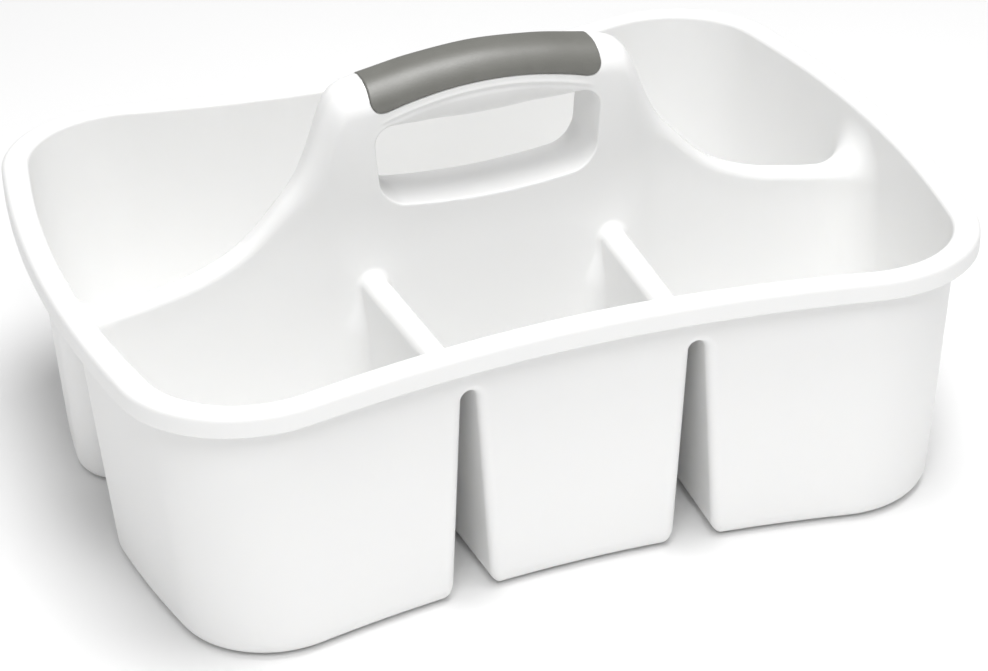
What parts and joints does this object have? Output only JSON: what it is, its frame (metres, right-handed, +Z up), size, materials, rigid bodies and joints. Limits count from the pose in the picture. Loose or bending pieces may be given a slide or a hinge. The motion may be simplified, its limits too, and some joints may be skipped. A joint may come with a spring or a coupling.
{
  "type": "cleaning caddy",
  "caption": "Open carry tray for cleaning supplies with divided front compartments, a full-length rear compartment and a central arched handle with a grip cover.",
  "frame": {"origin": "centre of the footprint on the floor plane", "axes": "+X along the length and along the handle, +Y from the divided front toward the long rear compartment, +Z up"},
  "size_m": [0.432, 0.3122, 0.2123],
  "materials": {
    "white_plastic": "satin injection-moulded polypropylene with a very fine texture",
    "grey_grip": "soft-touch, fine matt texture"
  },
  "bodies": {
    "root": {"caddy_body": "white_plastic", "handle_grip": "grey_grip"}
  },
  "joints": []
}
